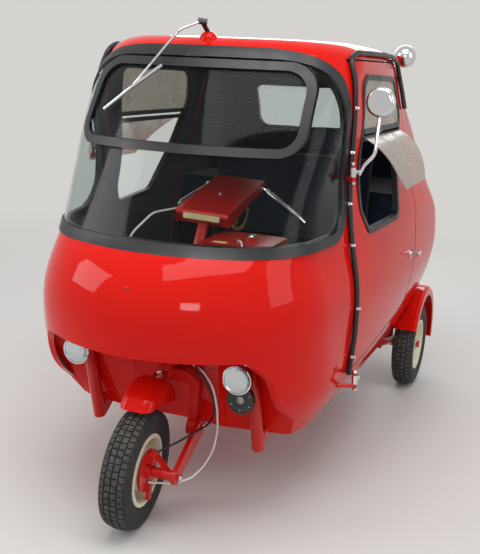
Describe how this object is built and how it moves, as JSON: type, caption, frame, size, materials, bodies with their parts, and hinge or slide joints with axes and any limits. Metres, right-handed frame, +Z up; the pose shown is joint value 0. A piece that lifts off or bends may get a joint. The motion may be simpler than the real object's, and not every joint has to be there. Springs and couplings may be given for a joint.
{
  "type": "three wheeled car",
  "caption": "Small closed three wheeled car with one steered front wheel, handlebar steering, side doors, bowed screen and rear engine lid.",
  "frame": {"origin": "on the ground under the middle of the car's bounding box", "axes": "+Z up, the nose faces -Y, the car's left side is +X"},
  "size_m": [1.234, 2.2695, 1.5459],
  "materials": {
    "shell": "gloss",
    "shell_trim": "gloss",
    "clear_sheet": "gloss",
    "rubber": "matte",
    "black_metal": "satin",
    "bright": "gloss",
    "wheel_paint": "gloss",
    "tyre": "matte",
    "grey_metal": "satin",
    "cloth": "matte",
    "engine": "matte",
    "amber": "gloss",
    "white_cable": "satin",
    "black_cable": "satin"
  },
  "bodies": {
    "body": {"nose_cowl": "shell", "roof_panel": "shell", "flank_left": "shell", "flank_right": "shell", "tail_panel": "shell", "windscreen": "clear_sheet", "windscreen_seal": "rubber", "screen_pane_seal": "rubber", "screen_pane": "clear_sheet", "rear_window_seal": "rubber", "rear_window": "clear_sheet", "door_hinges": "shell_trim", "door_seals": "rubber", "chin_wall": "shell", "floor_pan": "shell", "bulkhead": "shell", "seat_base": "cloth", "seat_cushion": "cloth", "seat_back": "cloth", "front_cabinet": "shell_trim", "steering_head": "grey_metal", "rear_frame": "black_metal", "engine_block": "engine", "rear_mudguards": "shell_trim", "nose_bars": "shell_trim", "headlamps": "bright", "headlamp_glasses": "clear_sheet", "horn": "black_metal", "indicators": "bright", "tail_lamps": "amber", "wiper": "bright", "lid_hinges": "black_metal"},
    "steering": {"steering_column": "grey_metal", "instrument_nacelle": "shell_trim", "handlebar": "bright", "levers": "bright", "fork_leg": "shell_trim", "swing_arm": "shell_trim", "brake_plate": "grey_metal", "front_mudguard": "shell", "brake_cable": "white_cable", "speedo_cable": "black_cable", "cabin_cable": "white_cable"},
    "front_wheel": {"front_rim": "wheel_paint", "front_tyre": "tyre"},
    "rear_wheel_left": {"rear_rim_left": "wheel_paint", "rear_tyre_left": "tyre"},
    "rear_wheel_right": {"rear_rim_right": "wheel_paint", "rear_tyre_right": "tyre"},
    "door_left": {"door_left": "shell", "door_window_left": "clear_sheet", "door_trim_left": "rubber", "door_fittings_left": "bright", "mirror": "bright"},
    "door_right": {"door_right": "shell", "door_window_right": "clear_sheet", "door_trim_right": "rubber", "door_fittings_right": "bright"},
    "engine_lid": {"engine_lid": "shell"}
  },
  "joints": [
    {"name": "steer", "type": "hinge", "parent": "body", "child": "steering", "pos_m": [0, -0.727, 0.437], "axis": [0, 0.485, 0.8745], "range_deg": [-36, 24], "deforming": ["brake_cable", "speedo_cable", "cabin_cable"]},
    {"name": "front_wheel_spin", "type": "hinge", "parent": "steering", "child": "front_wheel", "pos_m": [0.00713, -0.94167, 0.18982], "axis": [0.9945, 0.0914, -0.0507], "continuous": true},
    {"name": "rear_wheel_spin_left", "type": "hinge", "parent": "body", "child": "rear_wheel_left", "pos_m": [0.512, 0.741, 0.19], "axis": [1, 0, 0], "continuous": true},
    {"name": "rear_wheel_spin_right", "type": "hinge", "parent": "body", "child": "rear_wheel_right", "pos_m": [-0.512, 0.741, 0.19], "axis": [1, 0, 0], "continuous": true},
    {"name": "door_swing_left", "type": "hinge", "parent": "body", "child": "door_left", "pos_m": [0.543, -0.412, 0.4], "axis": [-0.0852, 0, 0.9964], "range_deg": [-70, 0]},
    {"name": "door_swing_right", "type": "hinge", "parent": "body", "child": "door_right", "pos_m": [-0.543, -0.412, 0.4], "axis": [0.0852, 0, 0.9964], "range_deg": [0, 70]},
    {"name": "engine_lid_lift", "type": "hinge", "parent": "body", "child": "engine_lid", "pos_m": [0, 1.12, 0.842], "axis": [1, 0, 0], "range_deg": [0, 65]}
  ]
}
